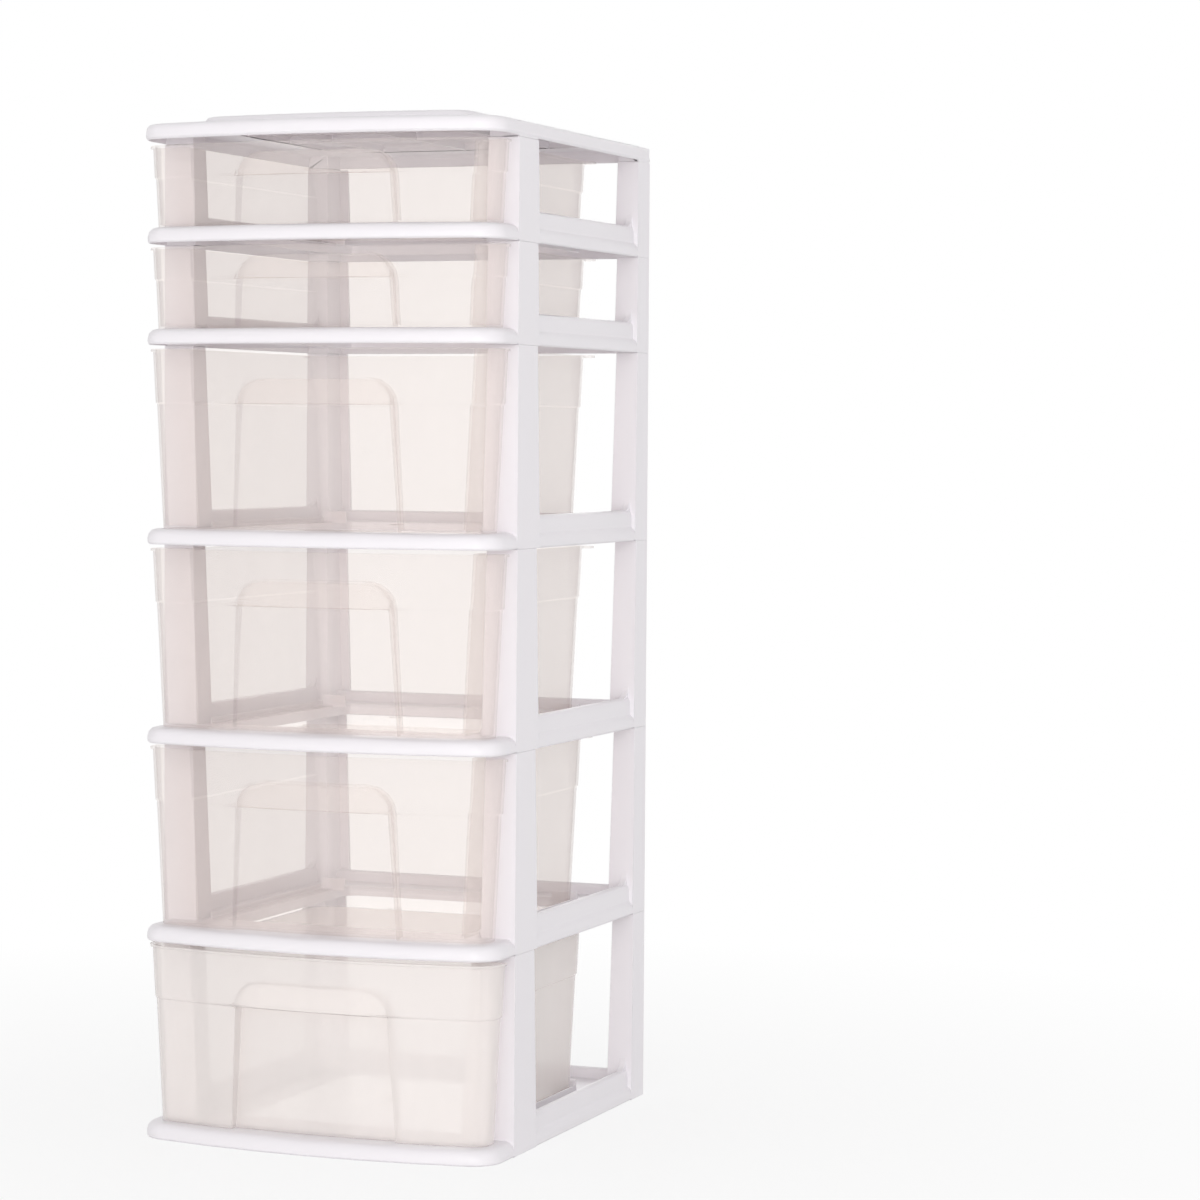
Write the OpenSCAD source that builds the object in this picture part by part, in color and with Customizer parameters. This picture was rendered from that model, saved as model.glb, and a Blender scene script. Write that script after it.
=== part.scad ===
// Drawer tower: four deep and two shallow clear drawers in a stack of white
// moulded frames, closed by a flat cover. Millimetres, +Z up. The drawers open
// towards -Y. The origin is on the floor in the middle of the footprint.

/* [Tower] */
// Width over the posts
tower_w = 321; // [300:1:360]
// Depth from the front posts' faces to the rear posts' backs
tower_d = 300; // [270:1:360]
// Height of a deep row, from seam to seam
deep_row_h = 165; // [150:1:200]
// Height of a shallow row, from seam to seam
shallow_row_h = 83.5; // [78:0.5:110]
// Wall of the frames and the cover
frame_wall = 2.2; // [1.8:0.1:2.6]

/* [Front rail] */
// Reach of the rail's middle ahead of the posts
rail_reach = 62; // [56:1:75]
// Bow of the rail over the full width
rail_bow = 18; // [12:1:24]
// Corner radius of the rail in plan
rail_corner_r = 25; // [22:1:30]
// Height of the rail
rail_h = 13; // [12:0.5:15]
// Radius of the rail's top edge
rail_top_r = 8; // [5:0.5:9]
// Radius of the rail's bottom edge
rail_foot_r = 1.5; // [0.5:0.5:2]
// Radius of the ring's rear corners
ring_back_r = 10; // [9:1:14]

/* [Side and rear rails] */
// Height of the side rails
side_rail_h = 27; // [22:1:32]
// Height of the rear rail
rear_rail_h = 23; // [18:1:28]
// Set-back of the upper bead from the lower one
bead_step = 4; // [3:0.5:6]
// Width of the upper bead
bead_w = 9; // [8:0.5:12]
// Depth of the ledge behind the rear edge of the ring's opening
rear_ledge_d = 40; // [34:1:50]
// Depth of the ledge inside the front posts
front_ledge_d = 14; // [10:1:20]
// Corner radius of the ring's opening
opening_r = 12; // [6:1:20]
// Height of the stiffening rib round the opening
opening_rib_h = 7; // [4:0.5:9]
// Thickness of ribs
rib_t = 1.8; // [1.4:0.1:2.2]
// Width of ledge under each edge of a drawer floor
runner_lap = 9; // [6:1:14]
// Height of the guide ribs beside the drawers
guide_h = 5; // [3:0.5:8]
// Gap between a guide rib and a drawer
guide_gap = 1; // [0.6:0.1:1.5]
// Height of the upstands that stop a closing drawer
rear_stop_h = 10; // [7:1:13]
// Width of each upstand
rear_stop_w = 24; // [16:1:36]

/* [Front posts] */
// Width of the front flange at the top
front_post_w = 27; // [24:0.5:30]
// Depth of the outer side at the top
front_post_d = 41; // [36:1:48]
// Depth of the wide part at the top
front_return_d = 22; // [18:1:28]
// Width of the narrow part at the top
front_spine_w = 13; // [11:0.5:16]
// Widening of the flange per 100 mm of height
front_flare_w = 2.4; // [1:0.1:3]
// Deepening of the outer side per 100 mm of height
front_flare_d = 4.2; // [2:0.1:5]

/* [Rear posts] */
// Width of the post at the top
rear_post_w = 20; // [18:0.5:24]
// Depth of the outer side at the top
rear_post_d = 28; // [24:1:34]
// Extra width of the flange across the back
rear_flange_w = 8; // [5:0.5:12]
// Widening per 100 mm of height
rear_flare_w = 2.4; // [1:0.1:3]
// Deepening per 100 mm of height
rear_flare_d = 1.2; // [0.5:0.1:3]

/* [Joints between frames] */
// Height of the spigots on top of the posts
spigot_h = 9; // [6:0.5:9]
// Gap between a spigot and the post that it enters
spigot_gap = 0.3; // [0.2:0.05:0.5]

/* [Drawers] */
// Wall of a drawer
drawer_wall = 1.8; // [1.4:0.1:2.4]
// Floor of a drawer
drawer_floor = 2; // [1.6:0.1:2.6]
// Draft of the drawer walls in degrees
drawer_draft = 2.95; // [2:0.05:3.4]
// Gap under a drawer where it slides
slide_gap = 0.3; // [0.2:0.05:0.5]
// Gap above a drawer
head_gap = 3.5; // [2.5:0.5:6]
// Set-back of the drawer face from the rail's nose, at the rim
face_gap = 6; // [4:0.5:9]
// Set-back of the front's sides from the posts' outer faces, at the rim
front_side_gap = 3; // [2:0.5:6]
// Corner radius of the drawer front, at the rim
front_corner_r = 22; // [18:1:26]
// Gap between the drawer front's rear web and the posts
web_gap = 14; // [10:1:18]
// Gap between a drawer's rim and the posts that it passes
post_gap = 1.5; // [1:0.25:3]
// Radius of the rear corners of a drawer, at the rim
back_corner_r = 18; // [14:1:24]
// Distance from a drawer's back to the rear posts' backs
drawer_back_gap = 65; // [50:1:90]
// Overhang of the rim
rim_out = 2; // [1.5:0.25:3]
// Thickness of the rim
rim_t = 2.2; // [1.6:0.1:3]
// Outward step of the upper band of the walls
step_out = 1.2; // [0.8:0.1:1.6]
// Height of the upper band of a deep drawer
deep_band_h = 45.5; // [40:0.5:55]
// Height of the upper band of a shallow drawer
shallow_band_h = 27; // [24:0.5:30]
// Travel of a drawer from closed to its stop
drawer_travel = 195; // [150:1:200]
// Gap left before the stop at full travel
stop_gap = 0.5; // [0.3:0.1:1]
// Width of the stop ears
ear_w = 6; // [5:0.5:8]
// Depth of the stop ears
ear_d = 10; // [6:1:14]
// Diameter of the moulding mark in the floor
gate_d = 12; // [8:1:16]
// Depth of the moulding mark
gate_depth = 0.6; // [0.4:0.1:0.8]

/* [Finger pulls] */
// Width of the pull at its arch
pull_w = 137; // [110:1:150]
// Widening of the pull, each side, per 100 mm down
pull_flare = 5.5; // [3:0.5:7]
// Radius of the arch's ends
pull_r = 22; // [16:1:26]
// Distance from a deep drawer's rim to the arch
deep_pull_drop = 25; // [20:0.5:30]
// Distance from a shallow drawer's rim to the arch
shallow_pull_drop = 8; // [7:0.5:10]
// Depth of the pull's recess behind the face at the rim
pull_recess = 16; // [14:1:20]
// Radius of the bead along the grip's lower edge
grip_bead_r = 1.5; // [1:0.1:2]

/* [Cover] */
// Overhang of the cover past the frames
cover_over = 1; // [1:0.5:3]
// Height of the cover's rim
cover_h = 14; // [12:0.5:18]
// Radius of the rim's top edge
cover_top_r = 6; // [4:0.5:8]
// Radius of the rim's bottom edge
cover_foot_r = 3; // [1:0.5:4]
// Corner radius of the cover at the back
cover_back_r = 6; // [5:0.5:6]
// Inset of the raised middle from the rim
plateau_inset = 38; // [30:1:50]
// Rise of the raised middle
plateau_rise = 7.5; // [5:0.5:10]
// Edge radius of the raised middle
plateau_r = 5; // [3:0.5:5]
// Corner radius of the raised middle in plan
plateau_corner_r = 20; // [14:1:26]
// Spacing of the stiffening ribs under the cover
cover_rib_pitch = 80; // [60:5:100]
// Height of those ribs
cover_rib_h = 8; // [4:0.5:10]
// Thinning of those ribs per 100 mm down to their free edge
rib_draft = 7; // [2:1:9]

/* [Hidden] */
// straight steps that stand for a front corner, a wide and a tight rear corner, a
// corner of the ring's opening, a rolled edge and the bow
corner_steps = 4;
back_steps = 3;
tight_back_steps = 2;
opening_steps = 2;
roll_steps = 3;
bow_steps = 6;
half_w = tower_w / 2;
// posts' front plane, so that the footprint is centred on the origin
front_y = (rail_reach - tower_d) / 2;

// rows from the floor up
ROW_H = [deep_row_h, deep_row_h, deep_row_h, deep_row_h, shallow_row_h, shallow_row_h];
function level(row) = row == 0 ? 0 : level(row - 1) + ROW_H[row - 1];
stack_h = level(len(ROW_H));

// the bow of the front, an arc through the rail's nose
bow_r = (half_w ^ 2 + rail_bow ^ 2) / (2 * rail_bow);
bow_y = bow_r - rail_reach;

// drawers
function drawer_h(row_h) = row_h - rail_h - slide_gap - head_gap;
slope = tan(drawer_draft);
face_r = bow_r - face_gap;
front_half_w = half_w - front_side_gap;
body_half_w = half_w - front_post_w - post_gap - rim_out;
drawer_back_y = tower_d - drawer_back_gap;

// inset of a drawer's side from its rim at height z over its floor
function side_inset(row_h, z) = slope * (drawer_h(row_h) - z) + step_out;

// plan of a post at its top, as [width, depth] of the boxes that join in it
FRONT_POST = [[front_post_w, front_return_d], [front_spine_w, front_post_d]];
REAR_POST = [[rear_post_w, rear_post_d]];

// ring inside the frame
opening_x = body_half_w - side_inset(deep_row_h, 0) - runner_lap;
deck_z = rail_h - frame_wall;

// ---- outlines in plan: a wide arc in front, corner arcs and straight sides ----

function corner_y(w, r, c) = bow_y - sqrt((r - c) ^ 2 - (w - c) ^ 2);
function lean(w, r, c) = asin((w - c) / (r - c));

// Points of an arc round [x, y] from angle a to angle b
function arc(x, y, r, a, b, steps) =
    [for (i = [0:steps]) let (t = a + (b - a) * i / steps) [x + r * cos(t), y + r * sin(t)]];

// Bowed front from its left side round to its right side
function front_line(w, r, c) =
    let (a = lean(w, r, c), y = corner_y(w, r, c), step = 2 * a / bow_steps)
    concat(
        arc(c - w, y, c, -180, -90 - a, corner_steps),
        arc(0, bow_y, r, step - 90 - a, a - 90 - step, bow_steps - 2),
        arc(w - c, y, c, a - 90, 0, corner_steps)
    );

// Rounded back from its right side round to its left side
function back_line(w, c, y, steps) = concat(
    arc(w - c, y - c, c, 0, 90, steps),
    arc(c - w, y - c, c, 90, 180, steps)
);

function open_outline(w, r, c, end_y) = concat(front_line(w, r, c), [[w, end_y], [-w, end_y]]);
function backed_outline(w, c, start_y, back_y) =
    concat([[-w, start_y], [w, start_y]], back_line(w, c, back_y, back_steps));
function whole_outline(w, r, c, back_c, back_y, steps) =
    concat(front_line(w, r, c), back_line(w, back_c, back_y, steps));

// ---- solids lofted through one outline; a section lists [outset, height] from the foot up ----

// Convex loft through loops of points
module loft(loops) {
    n = len(loops[0]);
    last = len(loops) - 1;
    hull()
        polyhedron(
            points = [for (loop = loops) each loop],
            faces = concat(
                [[for (i = [0:n - 1]) i], [for (i = [n - 1:-1:0]) last * n + i]],
                [
                    for (k = [0:last - 1], i = [0:n - 1])
                        let (j = (i + 1) % n, a = k * n, b = a + n) [a + i, b + i, b + j, a + j]
                ]
            )
        );
}

function at_height(points, z) = [for (p = points) [p.x, p.y, z]];

// Bowed front with an open back at end_y
module bowed_solid(w, r, c, end_y, section) {
    loft([
        for (s = section)
            at_height(open_outline(w + s[0], r + s[0], c + s[0], end_y), s[1])
    ]);
}

// Straight sides from start_y and a rounded back
module backed_solid(w, c, start_y, back_y, section) {
    loft([
        for (s = section)
            at_height(backed_outline(w + s[0], c + s[0], start_y, back_y + s[0]), s[1])
    ]);
}

// Whole footprint, inset from the frames' outline
module footprint_solid(inset, corner_r, back_r, steps, section) {
    w = half_w - inset;
    r = bow_r - inset;
    back_y = tower_d - inset;
    loft([
        for (s = section)
            at_height(
                whole_outline(
                    w + s[0], r + s[0], corner_r + s[0], back_r + s[0], back_y + s[0], steps
                ),
                s[1]
            )
    ]);
}

// ---- wall sections ----

// Rolled edge of a wall from z = 0 up to h, and its hollow, which is cut from below
function rolled_edge(h, top_r, foot_r) = concat(
    arc(-foot_r, foot_r, foot_r, -90, 0, 1),
    arc(-top_r, h - top_r, top_r, 0, 90, roll_steps)
);
function rolled_hollow(h, top_r, steps) =
    concat([[0, -1]], arc(-top_r, h - top_r, top_r, 0, 90, steps));

// Drafted side of a drawer below and above its outward step, moved in by inset
function lower_side(h, band_h, inset, z0) = [
    [-slope * (h - z0) - step_out - inset, z0],
    [-slope * band_h - step_out - inset, h - band_h]
];
function upper_side(h, band_h, inset, z1) = [
    [-slope * band_h - step_out - inset, h - band_h],
    [-slope * (band_h - step_out) - inset, h - band_h + step_out],
    [-slope * (h - z1) - inset, z1]
];
function rim(h) = [[rim_out, h - rim_t], [rim_out, h]];

// ---- posts ----

// Box with one edge upright and the two faces away from it drafted, wider at the foot
module drafted_box(w, d, flare_w, flare_d, h) {
    foot_w = w + flare_w * h / 100;
    foot_d = d + flare_d * h / 100;
    loft([
        [[0, 0, 0], [foot_w, 0, 0], [foot_w, foot_d, 0], [0, foot_d, 0]],
        [[0, 0, h], [w, 0, h], [w, d, h], [0, d, h]]
    ]);
}

// Front post's form, drawn from its outer front edge inwards; skin shrinks it
module front_post_form(h, skin) {
    translate([skin, skin, 0]) {
        drafted_box(
            front_post_w - 2 * skin, front_return_d - 2 * skin,
            front_flare_w, front_flare_d, h
        );
        drafted_box(
            front_spine_w - 2 * skin, front_post_d - 2 * skin,
            front_flare_w, front_flare_d, h
        );
    }
}

// Rear post's form, drawn from its outer rear edge inwards; skin shrinks it
module rear_post_form(h, skin) {
    translate([skin, skin, 0])
        drafted_box(
            rear_post_w - 2 * skin, rear_post_d - 2 * skin,
            rear_flare_w, rear_flare_d, h
        );
}

// Plan of a post at its top, shrunk by skin
module post_plan(boxes, skin) {
    for (size = boxes)
        translate([skin, skin]) square([size[0] - 2 * skin, size[1] - 2 * skin]);
}

// Spigot that enters the next frame's post
module spigot(boxes) {
    translate([0, 0, -frame_wall / 2])
        linear_extrude(spigot_h + frame_wall / 2)
            post_plan(boxes, frame_wall + spigot_gap);
}

// Repeats the right-hand side on the left
module both_sides() {
    for (side = [0, 1]) mirror([side, 0, 0]) children();
}

module at_front_posts() {
    both_sides() translate([half_w, 0, 0]) mirror([1, 0, 0]) children();
}

module at_rear_posts() {
    both_sides() translate([half_w, tower_d, 0]) rotate([0, 0, 180]) children();
}

// ---- frame ----

// Outline of the ring's opening, grown by extra
module ring_opening(extra) {
    w = opening_x + extra;
    r = opening_r + extra;
    start_y = front_ledge_d - extra;
    back_y = tower_d - rear_ledge_d + extra;
    polygon(concat(
        arc(w - r, start_y + r, r, -90, 0, opening_steps),
        arc(w - r, back_y - r, r, 0, 90, opening_steps),
        arc(r - w, back_y - r, r, 90, 180, opening_steps),
        arc(r - w, start_y + r, r, 180, 270, opening_steps)
    ));
}

// Upper bead of the side and rear rails, drawn from the rails' outer face inwards
module bead(h, skin) {
    r = bead_w / 2 - skin;
    x = -bead_step - bead_w / 2;
    z = h - bead_w / 2;
    foot_z = deck_z + frame_wall / 2 - skin;
    polygon(concat([[x - r, foot_z], [x + r, foot_z]], arc(x, z, r, 0, 180, 2 * roll_steps - 2)));
}

// Upper beads between the posts
module beads(row_h, skin) {
    start_y = front_post_d + front_flare_d * row_h / 100 - frame_wall * 0.8 + skin;
    back_y = tower_d - rear_post_d - rear_flare_d * row_h / 100 + frame_wall * 0.6 - skin;
    back_x = half_w - rear_post_w - rear_flare_w * row_h / 100 + frame_wall * 0.6 - skin;
    both_sides()
        translate([half_w, back_y, 0])
            rotate([90, 0, 0])
                linear_extrude(back_y - start_y) bead(side_rail_h, skin);
    translate([-back_x, tower_d, 0])
        rotate([90, 0, 90])
            linear_extrude(2 * back_x) bead(rear_rail_h, skin);
}

// Ring of rails and deck that carries a drawer
module ring(row_h) {
    difference() {
        union() {
            footprint_solid(
                0, rail_corner_r, ring_back_r, back_steps,
                rolled_edge(rail_h, rail_top_r, rail_foot_r)
            );
            beads(row_h, 0);
        }
        footprint_solid(
            frame_wall, rail_corner_r - frame_wall, ring_back_r - frame_wall, back_steps,
            rolled_hollow(deck_z, rail_top_r - frame_wall, 2)
        );
        beads(row_h, frame_wall);
        translate([0, 0, -1]) linear_extrude(rail_h + 2) ring_opening(0);
    }
    // rib round the opening
    translate([0, 0, deck_z - opening_rib_h])
        linear_extrude(opening_rib_h + frame_wall / 2)
            difference() {
                ring_opening(rib_t);
                ring_opening(0);
            }
    // ribs that guide the drawer and the upstands that stop it as it closes
    guide_x = body_half_w - side_inset(row_h, guide_h) + guide_gap;
    stop_y = drawer_back_y - side_inset(row_h, rear_stop_h) + guide_gap;
    both_sides() {
        translate([guide_x, front_ledge_d, deck_z + frame_wall / 2])
            cube([rib_t, stop_y - front_ledge_d, guide_h + frame_wall / 2]);
        translate([guide_x + rib_t - rear_stop_w, stop_y, deck_z + frame_wall / 2])
            cube([rear_stop_w, rib_t, rear_stop_h + frame_wall / 2]);
    }
}

module frame(row_h) {
    difference() {
        union() {
            ring(row_h);
            at_front_posts() front_post_form(row_h, 0);
            at_rear_posts() {
                rear_post_form(row_h, 0);
                drafted_box(rear_post_w + rear_flange_w, frame_wall, rear_flare_w, 0, row_h);
            }
        }
        translate([0, 0, -frame_wall]) {
            at_front_posts() front_post_form(row_h, frame_wall);
            at_rear_posts() rear_post_form(row_h, frame_wall);
        }
    }
    translate([0, 0, row_h]) {
        at_front_posts() spigot(FRONT_POST);
        at_rear_posts() spigot(REAR_POST);
    }
}

// ---- drawer ----

// Solid of the wide bowed front
module front_part(end_y, section) {
    bowed_solid(front_half_w, face_r, front_corner_r, end_y, section);
}

// Solid of the narrower body behind it
module body_part(start_y, section) {
    backed_solid(body_half_w, back_corner_r, start_y, drawer_back_y, section);
}

// Outer form
module drawer_form(h, band_h) {
    for (section = [lower_side(h, band_h, 0, 0), upper_side(h, band_h, 0, h), rim(h)]) {
        front_part(-web_gap, section);
        body_part(-web_gap - 3, section);
    }
    // ears that meet the front posts at full travel, on roots that reach the rim
    stop_y = front_return_d + front_flare_d * (head_gap + rim_t) / 100 + drawer_travel + stop_gap;
    root_y = min(stop_y, drawer_back_y - back_corner_r / 2);
    both_sides()
        translate([body_half_w - back_corner_r, 0, h - rim_t])
            linear_extrude(rim_t) {
                translate([0, root_y]) square([back_corner_r + rim_out, stop_y + ear_d - root_y]);
                translate([0, stop_y]) square([back_corner_r + rim_out + ear_w, ear_d]);
            }
}

// Space inside the walls
module drawer_hollow(h, band_h) {
    lower = lower_side(h, band_h, drawer_wall, drawer_floor);
    upper = upper_side(h, band_h, drawer_wall, h + 1);
    for (section = [lower, upper]) {
        front_part(-web_gap - drawer_wall, section);
        body_part(-web_gap - 3 * drawer_wall, section);
    }
}

// Front view of the pull: an arch on flared legs, grown by extra
module pull_outline(h, drop, extra) {
    top = h - drop + extra;
    w = pull_w / 2 + extra;
    r = pull_r + extra;
    foot_w = w + pull_flare * (top - r) / 100;
    polygon(concat(
        [[-foot_w, -1], [foot_w, -1]],
        arc(w - r, top - r, r, 0, 90, corner_steps),
        arc(r - w, top - r, r, 90, 180, corner_steps)
    ));
}

// Space through the front in the pull's outline, back to the recess's back wall
module pull_space(h, drop, extra) {
    half_a = lean(front_half_w, face_r, front_corner_r);
    back_r = face_r - pull_recess - extra;
    difference() {
        translate([0, -web_gap - drawer_wall - 4, 0])
            rotate([90, 0, 0])
                linear_extrude(rail_reach) pull_outline(h, drop, extra);
        translate([0, 0, -2])
            linear_extrude(h + 4)
                polygon(concat([[0, 0]], arc(0, bow_y, back_r, -90 - half_a, half_a - 90, bow_steps)));
    }
}

module drawer(row_h, band_h, drop) {
    h = drawer_h(row_h);
    step_z = h - band_h;
    grip_r = face_r - slope * band_h - drawer_wall;
    grip_a = asin((pull_w / 2 + 1) / grip_r);
    difference() {
        drawer_form(h, band_h);
        // inside, but for the walls round the pull
        difference() {
            drawer_hollow(h, band_h);
            pull_space(h, drop, drawer_wall);
        }
        // the pull's recess, open to the front below the grip
        difference() {
            pull_space(h, drop, 0);
            difference() {
                translate([-pull_w, -2 * rail_reach, step_z])
                    cube([2 * pull_w, 2 * rail_reach, band_h]);
                drawer_hollow(h, band_h);
            }
        }
        translate([0, drawer_back_y / 2, drawer_floor - gate_depth])
            cylinder(h = gate_depth + 1, d = gate_d, $fn = 10);
    }
    // bead along the grip's lower edge
    translate([0, bow_y, 0])
        rotate([0, 0, -90 - grip_a])
            rotate_extrude(angle = 2 * grip_a, $fn = 120)
                translate([grip_r, step_z + grip_bead_r]) circle(grip_bead_r, $fn = 6);
}

// ---- cover ----

// Wall round a spigot of the top frame, from the cover's foot up to its deck
module collar(boxes) {
    linear_extrude(cover_h - frame_wall / 2)
        difference() {
            post_plan(boxes, frame_wall - rib_t);
            post_plan(boxes, frame_wall);
        }
}

// Stiffening ribs under the raised middle
module cover_ribs() {
    reach = half_w - plateau_inset - frame_wall / 2;
    top = cover_h + plateau_rise - frame_wall / 2;
    back_y = tower_d - plateau_inset - frame_wall / 2;
    start_y = plateau_inset + rail_bow - rail_reach;
    count = floor(reach / cover_rib_pitch);
    translate([0, 0, top - cover_rib_h]) {
        for (i = [-count:count])
            translate([i * cover_rib_pitch - rib_t / 2, start_y, 0])
                drafted_box(rib_t, back_y - start_y, -rib_draft, 0, cover_rib_h);
        for (y = [start_y + cover_rib_pitch:cover_rib_pitch:back_y - cover_rib_pitch / 2])
            translate([-reach, y, 0])
                drafted_box(2 * reach, rib_t, 0, -rib_draft, cover_rib_h);
    }
}

module top_cover() {
    color("white")
        translate([0, front_y, stack_h]) {
            difference() {
                union() {
                    footprint_solid(
                        -cover_over, rail_corner_r, cover_back_r, tight_back_steps,
                        rolled_edge(cover_h, cover_top_r, cover_foot_r)
                    );
                    footprint_solid(
                        plateau_inset, plateau_corner_r, plateau_corner_r, back_steps,
                        rolled_edge(cover_h + plateau_rise, plateau_r, 1)
                    );
                }
                footprint_solid(
                    frame_wall - cover_over, rail_corner_r - frame_wall,
                    cover_back_r - frame_wall, tight_back_steps,
                    rolled_hollow(
                        cover_h - frame_wall,
                        min(cover_top_r, cover_h - spigot_h) - frame_wall, 1
                    )
                );
                footprint_solid(
                    plateau_inset + frame_wall, plateau_corner_r - frame_wall,
                    plateau_corner_r - frame_wall, back_steps,
                    rolled_hollow(cover_h + plateau_rise - frame_wall, plateau_r - frame_wall, 1)
                );
            }
            cover_ribs();
            at_front_posts() collar(FRONT_POST);
            at_rear_posts() collar(REAR_POST);
        }
}

module deep_frame(row) {
    color("white") translate([0, front_y, level(row)]) frame(deep_row_h);
}

module shallow_frame(row) {
    color("white") translate([0, front_y, level(row)]) frame(shallow_row_h);
}

module deep_drawer(row) {
    color("ivory", 0.45)
        translate([0, front_y, level(row) + rail_h + slide_gap])
            drawer(deep_row_h, deep_band_h, deep_pull_drop);
}

module shallow_drawer(row) {
    color("ivory", 0.45)
        translate([0, front_y, level(row) + rail_h + slide_gap])
            drawer(shallow_row_h, shallow_band_h, shallow_pull_drop);
}

module deep_frame_1() { deep_frame(0); }
module deep_frame_2() { deep_frame(1); }
module deep_frame_3() { deep_frame(2); }
module deep_frame_4() { deep_frame(3); }
module shallow_frame_1() { shallow_frame(4); }
module shallow_frame_2() { shallow_frame(5); }
module deep_drawer_1() { deep_drawer(0); }
module deep_drawer_2() { deep_drawer(1); }
module deep_drawer_3() { deep_drawer(2); }
module deep_drawer_4() { deep_drawer(3); }
module shallow_drawer_1() { shallow_drawer(4); }
module shallow_drawer_2() { shallow_drawer(5); }

deep_frame_1();
deep_frame_2();
deep_frame_3();
deep_frame_4();
shallow_frame_1();
shallow_frame_2();
deep_drawer_1();
deep_drawer_2();
deep_drawer_3();
deep_drawer_4();
shallow_drawer_1();
shallow_drawer_2();
top_cover();
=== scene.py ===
"""Tall drawer tower: white moulded frames, clear drawers with bowed fronts, flat cover.

Metres, +Z up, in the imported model's own frame. The drawers open towards -Y.
"""

import math

import bpy
from mathutils import Matrix, Vector


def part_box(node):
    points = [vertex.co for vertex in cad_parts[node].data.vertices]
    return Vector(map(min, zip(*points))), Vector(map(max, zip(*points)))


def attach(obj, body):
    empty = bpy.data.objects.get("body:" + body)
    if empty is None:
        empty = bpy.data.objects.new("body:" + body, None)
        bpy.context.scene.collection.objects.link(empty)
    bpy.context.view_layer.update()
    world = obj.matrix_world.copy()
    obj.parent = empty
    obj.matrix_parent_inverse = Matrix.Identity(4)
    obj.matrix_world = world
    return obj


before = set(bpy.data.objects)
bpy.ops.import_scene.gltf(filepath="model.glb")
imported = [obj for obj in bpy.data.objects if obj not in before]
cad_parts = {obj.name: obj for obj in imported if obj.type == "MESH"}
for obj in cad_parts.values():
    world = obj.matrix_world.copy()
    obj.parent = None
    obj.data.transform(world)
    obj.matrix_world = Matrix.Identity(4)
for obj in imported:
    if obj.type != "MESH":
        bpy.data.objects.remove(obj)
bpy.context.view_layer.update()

SCENE = bpy.context.scene
FRAME_NODES = [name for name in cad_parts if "frame" in name]
DRAWER_NODES = [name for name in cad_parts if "drawer" in name]
COVER_NODE = "top_cover"
LOWEST_DRAWER = "deep_drawer_1"

PLAIN_WHITE = (1.0, 1.0, 1.0, 1.0)
PLASTIC_IOR = 1.49


# ---- shader helpers ----


class ShaderSheet:
    """Adds nodes to one node tree and links them."""

    def __init__(self, tree):
        self.tree = tree

    def add(self, kind, settings=None, **inputs):
        """A new node; inputs are values or sockets, named as on the node with _ for spaces."""
        made = self.tree.nodes.new(kind)
        for name, value in (settings or {}).items():
            setattr(made, name, value)
        for name, value in inputs.items():
            self.feed(made.inputs[name.replace("_", " ")], value)
        return made

    def feed(self, socket, value):
        """Links value where it is a socket, and sets it otherwise."""
        if isinstance(value, bpy.types.NodeSocket):
            self.tree.links.new(value, socket)
        else:
            socket.default_value = value

    def place(self):
        """Where the shaded point lies on its piece, in metres."""
        return self.add("ShaderNodeTexCoord").outputs["Object"]

    def noise(self, place, scale, detail, roughness):
        """Soft noise around 0.5 at place."""
        made = self.add(
            "ShaderNodeTexNoise", Vector=place, Scale=scale, Detail=detail, Roughness=roughness
        )
        return made.outputs["Fac"]

    def maths(self, operation, first, second=0.0):
        """The result of one Math node."""
        made = self.tree.nodes.new("ShaderNodeMath")
        made.operation = operation
        self.feed(made.inputs[0], first)
        self.feed(made.inputs[1], second)
        return made.outputs[0]

    def blend_colour(self, amount, first, second):
        """The colour between first and second."""
        made = self.tree.nodes.new("ShaderNodeMix")
        made.data_type = "RGBA"
        self.feed(made.inputs["Factor"], amount)
        self.feed(made.inputs[6], first)
        self.feed(made.inputs[7], second)
        return made.outputs[2]

    def blend_shader(self, amount, first, second):
        """The shader between those of two nodes."""
        made = self.tree.nodes.new("ShaderNodeMixShader")
        self.feed(made.inputs[0], amount)
        self.feed(made.inputs[1], first.outputs[0])
        self.feed(made.inputs[2], second.outputs[0])
        return made.outputs[0]

    def spread(self, value, low, high, to_low, to_high):
        """value mapped from low..high to to_low..to_high, held at its ends."""
        made = self.add(
            "ShaderNodeMapRange",
            Value=value,
            From_Min=low,
            From_Max=high,
            To_Min=to_low,
            To_Max=to_high,
        )
        return made.outputs[0]


def effect_group(name, inputs, outputs):
    """A shader node group, its sheet, and its two ends."""
    group = bpy.data.node_groups.new(name, "ShaderNodeTree")
    for label, kind, value in inputs:
        socket = group.interface.new_socket(label, in_out="INPUT", socket_type=kind)
        socket.default_value = value
    for label, kind in outputs:
        group.interface.new_socket(label, in_out="OUTPUT", socket_type=kind)
    start = group.nodes.new("NodeGroupInput").outputs
    end = group.nodes.new("NodeGroupOutput").inputs
    return group, ShaderSheet(group), start, end


# ---- effects that the plastics share ----

# height of the fine grain beside that of the slow waves
GRAIN_HEIGHT = 0.3
# noise at which the second colour starts to show, and at which it shows in full
PATCH_START, PATCH_FULL = 0.3, 0.7
# streaks are drawn out along Z
STREAK_STRETCH = (1.0, 1.0, 0.18)


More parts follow.
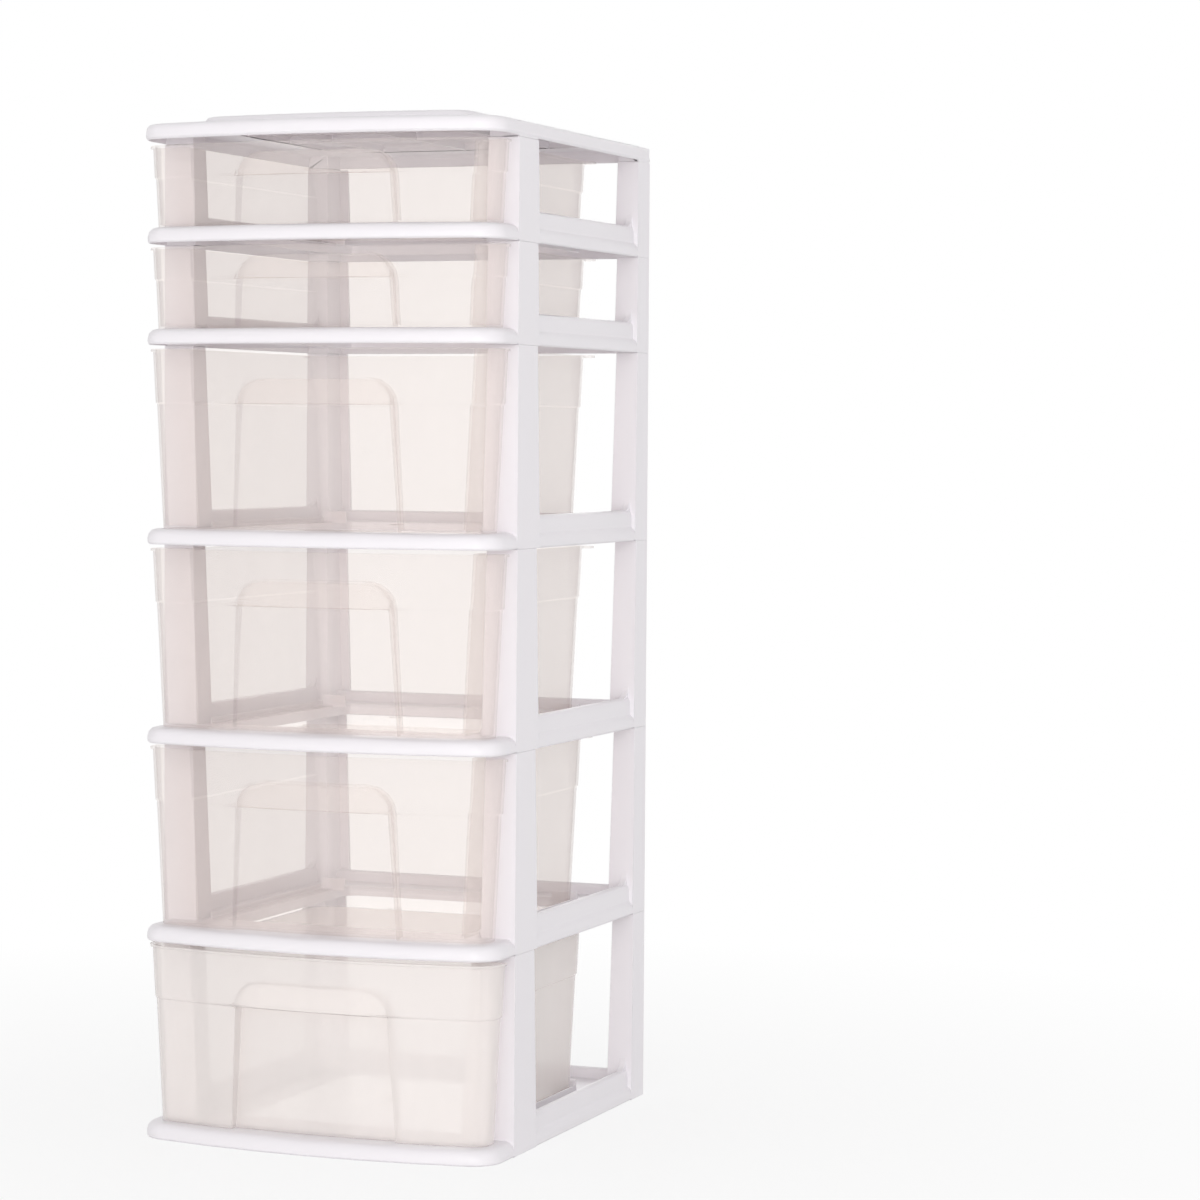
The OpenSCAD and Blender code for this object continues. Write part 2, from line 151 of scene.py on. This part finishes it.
def build_moulded_skin():
    """Fine satin texture of a steel mould, with slow waviness from shrinkage."""
    group, sheet, start, end = effect_group(
        "moulded_skin",
        [
            ("Grain Scale", "NodeSocketFloat", 900.0),
            ("Wave Scale", "NodeSocketFloat", 14.0),
            ("Roughness", "NodeSocketFloat", 0.4),
            ("Roughness Spread", "NodeSocketFloat", 0.06),
        ],
        [("Height", "NodeSocketFloat"), ("Roughness", "NodeSocketFloat")],
    )
    place = sheet.place()
    grain = sheet.noise(place, start["Grain Scale"], detail=2.0, roughness=0.6)
    wave = sheet.noise(place, start["Wave Scale"], detail=1.0, roughness=0.4)
    sheet.feed(end["Height"], sheet.maths("ADD", sheet.maths("MULTIPLY", grain, GRAIN_HEIGHT), wave))
    drift = sheet.maths("MULTIPLY", sheet.maths("SUBTRACT", wave, 0.5), start["Roughness Spread"])
    sheet.feed(end["Roughness"], sheet.maths("ADD", start["Roughness"], drift))
    return group


def build_resin_tone():
    """Slow change of tone through the resin."""
    group, sheet, start, end = effect_group(
        "resin_tone",
        [
            ("Main Colour", "NodeSocketColor", (0.9, 0.9, 0.9, 1.0)),
            ("Second Colour", "NodeSocketColor", (0.8, 0.8, 0.8, 1.0)),
            ("Patch Scale", "NodeSocketFloat", 6.0),
            ("Amount", "NodeSocketFloat", 0.5),
        ],
        [("Colour", "NodeSocketColor")],
    )
    patch = sheet.noise(sheet.place(), start["Patch Scale"], detail=3.0, roughness=0.5)
    patch = sheet.spread(patch, PATCH_START, PATCH_FULL, 0.0, 1.0)
    share = sheet.maths("MULTIPLY", patch, start["Amount"])
    tone = sheet.blend_colour(share, start["Main Colour"], start["Second Colour"])
    sheet.feed(end["Colour"], tone)
    return group


def build_flow_streaks():
    """How dense clear plastic is: soft upright streaks where the melt flowed."""
    group, sheet, start, end = effect_group(
        "flow_streaks",
        [("Streak Scale", "NodeSocketFloat", 22.0), ("Streak Depth", "NodeSocketFloat", 0.2)],
        [("Density", "NodeSocketFloat")],
    )
    drawn_out = sheet.add("ShaderNodeMapping", Vector=sheet.place(), Scale=STREAK_STRETCH)
    streak = sheet.noise(drawn_out.outputs[0], start["Streak Scale"], detail=3.0, roughness=0.55)
    lack = sheet.maths("MULTIPLY", sheet.maths("SUBTRACT", 1.0, streak), start["Streak Depth"])
    sheet.feed(end["Density"], sheet.maths("SUBTRACT", 1.0, lack))
    return group


MOULDED_SKIN = build_moulded_skin()
RESIN_TONE = build_resin_tone()
FLOW_STREAKS = build_flow_streaks()


# ---- plastics ----

# share of light of each colour that a clear wall lets through head-on, and edge-on
CLEAR_TINT = (0.988, 0.974, 0.966, 1.0)
EDGE_TINT = (0.846, 0.823, 0.821, 1.0)
# how much the haze of a clear wall differs between its streaks
STREAK_SPREAD = 0.04
# share of the haze that holds light back on its way from a lamp, and of the tint that it misses
SHADOW_HAZE = 0.1
SHADOW_CLEARING = 0.8


def new_material(name):
    """An empty material, its sheet and its output node."""
    material = bpy.data.materials.new(name)
    material.use_nodes = True
    material.node_tree.nodes.clear()
    sheet = ShaderSheet(material.node_tree)
    return material, sheet, sheet.add("ShaderNodeOutputMaterial")


def plastic_surface(sheet, skin, tone, relief, relief_height):
    """The surface of a plastic, from its skin and its tone."""
    bump = sheet.add(
        "ShaderNodeBump", Height=skin.outputs["Height"], Strength=relief, Distance=relief_height
    )
    return sheet.add(
        "ShaderNodeBsdfPrincipled",
        Base_Color=tone.outputs["Colour"],
        Roughness=skin.outputs["Roughness"],
        Normal=bump.outputs["Normal"],
        IOR=PLASTIC_IOR,
    )


def white_plastic():
    """Satin white polypropylene of the frames and the cover."""
    material, sheet, output = new_material("white_plastic")
    skin = sheet.add(
        "ShaderNodeGroup", {"node_tree": MOULDED_SKIN}, Roughness=0.38, Roughness_Spread=0.1
    )
    tone = sheet.add(
        "ShaderNodeGroup",
        {"node_tree": RESIN_TONE},
        Main_Colour=(0.868, 0.838, 0.866, 1.0),
        Second_Colour=(0.850, 0.818, 0.850, 1.0),
    )
    surface = plastic_surface(sheet, skin, tone, relief=0.25, relief_height=0.0004)
    sheet.feed(output.inputs["Surface"], surface.outputs[0])
    return material


def clear_plastic(name, haze, edge_haze):
    """Clear, faintly cream plastic, with the share that its haze covers head-on and edge-on."""
    material, sheet, output = new_material(name)
    skin = sheet.add(
        "ShaderNodeGroup",
        {"node_tree": MOULDED_SKIN},
        Wave_Scale=30.0,
        Roughness=0.22,
        Roughness_Spread=0.08,
    )
    tone = sheet.add(
        "ShaderNodeGroup",
        {"node_tree": RESIN_TONE},
        Main_Colour=(0.950, 0.915, 0.900, 1.0),
        Second_Colour=(0.935, 0.905, 0.895, 1.0),
    )
    surface = plastic_surface(sheet, skin, tone, relief=0.2, relief_height=0.0003)
    densest = haze + STREAK_SPREAD / 2
    streaks = sheet.add(
        "ShaderNodeGroup", {"node_tree": FLOW_STREAKS}, Streak_Depth=STREAK_SPREAD / densest
    )
    sheet.feed(surface.inputs["Alpha"], streaks.outputs["Density"])
    # walls look denser edge-on, and level floors and rims don't
    normal = sheet.add("ShaderNodeNewGeometry").outputs["Normal"]
    level = sheet.maths("ABSOLUTE", sheet.add("ShaderNodeSeparateXYZ", Vector=normal).outputs["Z"])
    facing = sheet.add("ShaderNodeLayerWeight", Blend=0.3).outputs["Facing"]
    facing = sheet.maths("MULTIPLY", facing, sheet.maths("SUBTRACT", 1.0, level))
    cover = sheet.spread(facing, 0.0, 1.0, densest, densest * edge_haze / haze)
    tint = sheet.blend_colour(facing, CLEAR_TINT, EDGE_TINT)
    # nearly all of the light that the haze scatters still goes on through the wall
    shade = sheet.add("ShaderNodeLightPath").outputs["Is Shadow Ray"]
    cover = sheet.maths("MULTIPLY", cover, sheet.spread(shade, 0.0, 1.0, 1.0, SHADOW_HAZE))
    clearing = sheet.maths("MULTIPLY", shade, SHADOW_CLEARING)
    through = sheet.add(
        "ShaderNodeBsdfTransparent", Color=sheet.blend_colour(clearing, tint, PLAIN_WHITE)
    )
    sheet.feed(output.inputs["Surface"], sheet.blend_shader(cover, through, surface))
    return material


# ---- finish of the mouldings ----

# vertices nearer than this are one
WELD_REACH = 0.00002
NORMAL_WEIGHT = 60


def smooth_faces(mesh):
    """Smooth shading on every face."""
    for face in mesh.polygons:
        face.use_smooth = True


def ease_edges(piece, width, segments, least_angle):
    """Rounds the edges of a moulding that turn by more than least_angle degrees."""
    ease = piece.modifiers.new("eased_edges", "BEVEL")
    ease.width = width
    ease.segments = segments
    ease.limit_method = "ANGLE"
    ease.angle_limit = math.radians(least_angle)
    ease.harden_normals = True
    return ease


def finish_node(name, material):
    """Gives a CAD node its material, eased edges and smooth rolled surfaces."""
    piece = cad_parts[name]
    piece.data.materials.clear()
    piece.data.materials.append(material)
    smooth_faces(piece.data)
    weld = piece.modifiers.new("weld", "WELD")
    weld.merge_threshold = WELD_REACH
    ease_edges(piece, width=0.0006, segments=2, least_angle=40).use_clamp_overlap = False
    shading = piece.modifiers.new("shading", "WEIGHTED_NORMAL")
    shading.keep_sharp = True
    shading.weight = NORMAL_WEIGHT


white = white_plastic()
clear = clear_plastic("clear_plastic", haze=0.09, edge_haze=0.28)
milky = clear_plastic("milky_plastic", haze=0.38, edge_haze=0.55)
for name in FRAME_NODES + [COVER_NODE]:
    finish_node(name, white)
for name in DRAWER_NODES:
    finish_node(name, milky if name == LOWEST_DRAWER else clear)


# ---- fillets at the rear ends of the side rails ----

# how far the spigots stand over the row of their frame
SPIGOT_HEIGHT = 0.009
# top of a side rail's bead over the frame's foot, and its middle from the middle of the tower
BEAD_TOP = 0.027
BEAD_MIDDLE = 0.152
# depth of a rear post at its top, and what it gains for each metre further down
POST_DEPTH = 0.028
POST_FLARE = 0.012
FILLET_RADIUS = 0.010
FILLET_WIDTH = 0.0056
# how deep a fillet is rooted in the post and the rail
FILLET_ROOT = 0.001
FILLET_STEPS = 8


def fillet_profile(post_y, rail_z):
    """Side view of a concave fillet in the corner between a post and a rail."""
    middle_y = post_y - FILLET_RADIUS
    middle_z = rail_z + FILLET_RADIUS
    points = [(post_y + FILLET_ROOT, rail_z - FILLET_ROOT), (middle_y, rail_z - FILLET_ROOT)]
    for step in range(FILLET_STEPS + 1):
        angle = math.radians(90.0 * step / FILLET_STEPS - 90.0)
        points.append(
            (middle_y + FILLET_RADIUS * math.cos(angle), middle_z + FILLET_RADIUS * math.sin(angle))
        )
    points.append((post_y + FILLET_ROOT, middle_z))
    return points


def add_rail_fillets(node):
    """The pair of fillets of one frame, moulded with it."""
    low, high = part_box(node)
    row_height = high[2] - low[2] - SPIGOT_HEIGHT
    post_depth = POST_DEPTH + POST_FLARE * (row_height - BEAD_TOP)
    profile = fillet_profile(high[1] - post_depth, low[2] + BEAD_TOP)
    count = len(profile)
    corners, faces = [], []
    for side in (-1, 1):
        near = len(corners)
        far = near + count
        for x in (BEAD_MIDDLE - FILLET_WIDTH / 2, BEAD_MIDDLE + FILLET_WIDTH / 2):
            corners.extend((side * x, y, z) for y, z in profile)
        faces.append([near + point for point in range(count)][::-side])
        faces.append([far + point for point in range(count)][::side])
        for point in range(count):
            after = (point + 1) % count
            faces.append([near + point, near + after, far + after, far + point][::side])
    mesh = bpy.data.meshes.new(node + "_rail_fillets")
    mesh.from_pydata(corners, [], faces)
    mesh.materials.append(white)
    smooth_faces(mesh)
    fillets = bpy.data.objects.new(node + "_rail_fillets", mesh)
    SCENE.collection.objects.link(fillets)
    ease_edges(fillets, width=0.0012, segments=3, least_angle=50)
    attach(fillets, "frame")


for name in FRAME_NODES:
    add_rail_fillets(name)


# ---- stage ----

FLOOR_HALF = 20.0
FLOOR_CLEARANCE = 0.0002
FLOOR_COLOUR = (0.93, 0.93, 0.93, 1.0)
# the floor keeps some of its shadow near the tower, and is plain white from further out
SHADOW_REACH, WHITE_REACH = 0.25, 1.1
SHADOW_WHITENESS = 0.78


def seen_directly(sheet):
    """1 for rays that show the stage itself: to the camera, a mirror image or through glass."""
    path = sheet.add("ShaderNodeLightPath")
    seen = path.outputs["Is Camera Ray"]
    for name in ("Is Glossy Ray", "Is Transmission Ray"):
        seen = sheet.maths("MAXIMUM", seen, path.outputs[name])
    return seen


def build_floor():
    """Wide pale floor that keeps the tower's shadow."""
    mesh = bpy.data.meshes.new("floor")
    corners = [
        (x * FLOOR_HALF, y * FLOOR_HALF, -FLOOR_CLEARANCE)
        for x, y in ((-1, -1), (1, -1), (1, 1), (-1, 1))
    ]
    mesh.from_pydata(corners, [], [(0, 1, 2, 3)])
    floor = bpy.data.objects.new("floor", mesh)
    SCENE.collection.objects.link(floor)
    material, sheet, output = new_material("pale_floor")
    matt = sheet.add("ShaderNodeBsdfDiffuse", Color=FLOOR_COLOUR)
    paper = sheet.add("ShaderNodeEmission", Color=PLAIN_WHITE, Strength=1.0)
    distance = sheet.add("ShaderNodeVectorMath", {"operation": "LENGTH"}, Vector=sheet.place())
    whiteness = sheet.spread(
        distance.outputs["Value"], SHADOW_REACH, WHITE_REACH, SHADOW_WHITENESS, 1.0
    )
    share = sheet.maths("MULTIPLY", seen_directly(sheet), whiteness)
    sheet.feed(output.inputs["Surface"], sheet.blend_shader(share, matt, paper))
    mesh.materials.append(material)


def build_world(horizon_level, zenith_level):
    """Soft white surroundings, brighter low down, and plain white where they are seen."""
    world = bpy.data.worlds.new("studio")
    world.use_nodes = True
    world.node_tree.nodes.clear()
    sheet = ShaderSheet(world.node_tree)
    seen = seen_directly(sheet)
    way = sheet.add("ShaderNodeTexCoord").outputs["Generated"]
    height = sheet.add("ShaderNodeSeparateXYZ", Vector=way).outputs["Z"]
    light_level = sheet.spread(height, 0.0, 1.0, horizon_level, zenith_level)
    level = sheet.spread(seen, 0.0, 1.0, light_level, 1.0)
    paper = sheet.add("ShaderNodeBackground", Color=PLAIN_WHITE, Strength=level)
    sheet.feed(sheet.add("ShaderNodeOutputWorld").inputs["Surface"], paper.outputs[0])
    SCENE.world = world


# ---- lamps and camera ----

LAMP_TARGET = Vector((0.0, 0.0, 0.45))
CAMERA_PLACE = (1.2476, -2.7392, 0.5887)
# degrees: round the tower, down from level, and about the line of sight
CAMERA_TURN, CAMERA_TILT, CAMERA_ROLL = 21.184, 2.705, 0.384
LENS_LENGTH, SENSOR_WIDTH = 105.5, 36.0
FARTHEST_SEEN = 100.0


def add_softbox(name, place, size, power):
    """Square soft lamp at place that faces the tower."""
    lamp = bpy.data.lights.new(name, "AREA")
    lamp.shape = "SQUARE"
    lamp.size = size
    lamp.energy = power
    box = bpy.data.objects.new(name, lamp)
    box.location = place
    box.rotation_euler = (LAMP_TARGET - Vector(place)).to_track_quat("-Z", "Y").to_euler()
    SCENE.collection.objects.link(box)


def add_camera():
    """Camera at the photograph's viewing angle."""
    camera = bpy.data.objects.new("camera", bpy.data.cameras.new("camera"))
    camera.data.lens = LENS_LENGTH
    camera.data.sensor_width = SENSOR_WIDTH
    camera.data.clip_end = FARTHEST_SEEN
    turn = Matrix.Rotation(math.radians(CAMERA_TURN), 4, "Z")
    tilt = Matrix.Rotation(math.radians(90.0 - CAMERA_TILT), 4, "X")
    roll = Matrix.Rotation(math.radians(CAMERA_ROLL), 4, "Z")
    camera.matrix_world = Matrix.Translation(CAMERA_PLACE) @ turn @ tilt @ roll
    SCENE.collection.objects.link(camera)
    SCENE.camera = camera


build_floor()
build_world(horizon_level=1.06, zenith_level=0.42)
add_softbox("key_light", (1.3, -3.0, 1.1), size=2.0, power=21.0)
add_softbox("low_light", (1.1, -3.0, 0.3), size=1.2, power=22.0)
add_softbox("back_light", (-0.6, 3.0, 0.9), size=2.0, power=18.0)
add_camera()

SCENE.view_settings.view_transform = "Standard"
# a line of sight crosses many drawer walls, and each has two faces
SCENE.cycles.transparent_max_bounces = 32
